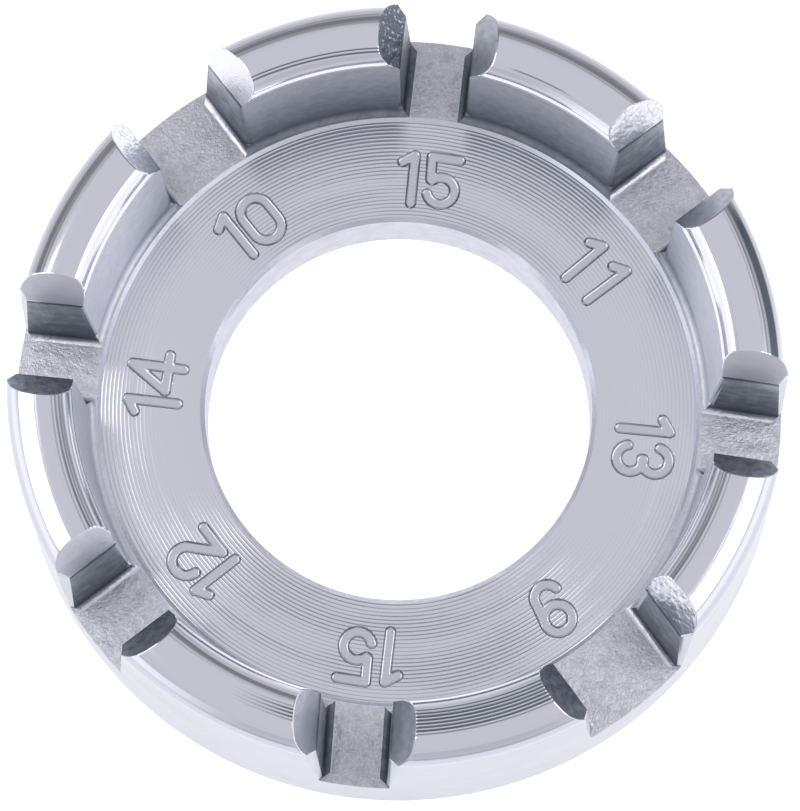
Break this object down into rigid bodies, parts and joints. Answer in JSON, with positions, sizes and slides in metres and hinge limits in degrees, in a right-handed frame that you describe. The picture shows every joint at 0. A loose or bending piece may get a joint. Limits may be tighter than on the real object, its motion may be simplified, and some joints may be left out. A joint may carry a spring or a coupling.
{
  "type": "spoke wrench",
  "caption": "Round one-piece wrench for wheel spoke nipples: a low ring with a finger hole and jaws on its rim, a slot of another width between each pair.",
  "frame": {"origin": "on the axis of the ring, in the plane of its flat underside", "axes": "+Z along the ring's axis towards the open mouths of the slots, +X through the 13 gauge slot, +Y through a 15 gauge slot"},
  "size_m": [0.052, 0.052, 0.0155],
  "materials": {
    "plated_steel": "bright plating over a turned and ground steel forging"
  },
  "bodies": {
    "root": {"ring": "plated_steel", "jaw_13_11": "plated_steel", "jaw_11_15": "plated_steel", "jaw_15_10": "plated_steel", "jaw_10_14": "plated_steel", "jaw_14_12": "plated_steel", "jaw_12_15": "plated_steel", "jaw_15_9": "plated_steel", "jaw_9_13": "plated_steel"}
  },
  "joints": []
}
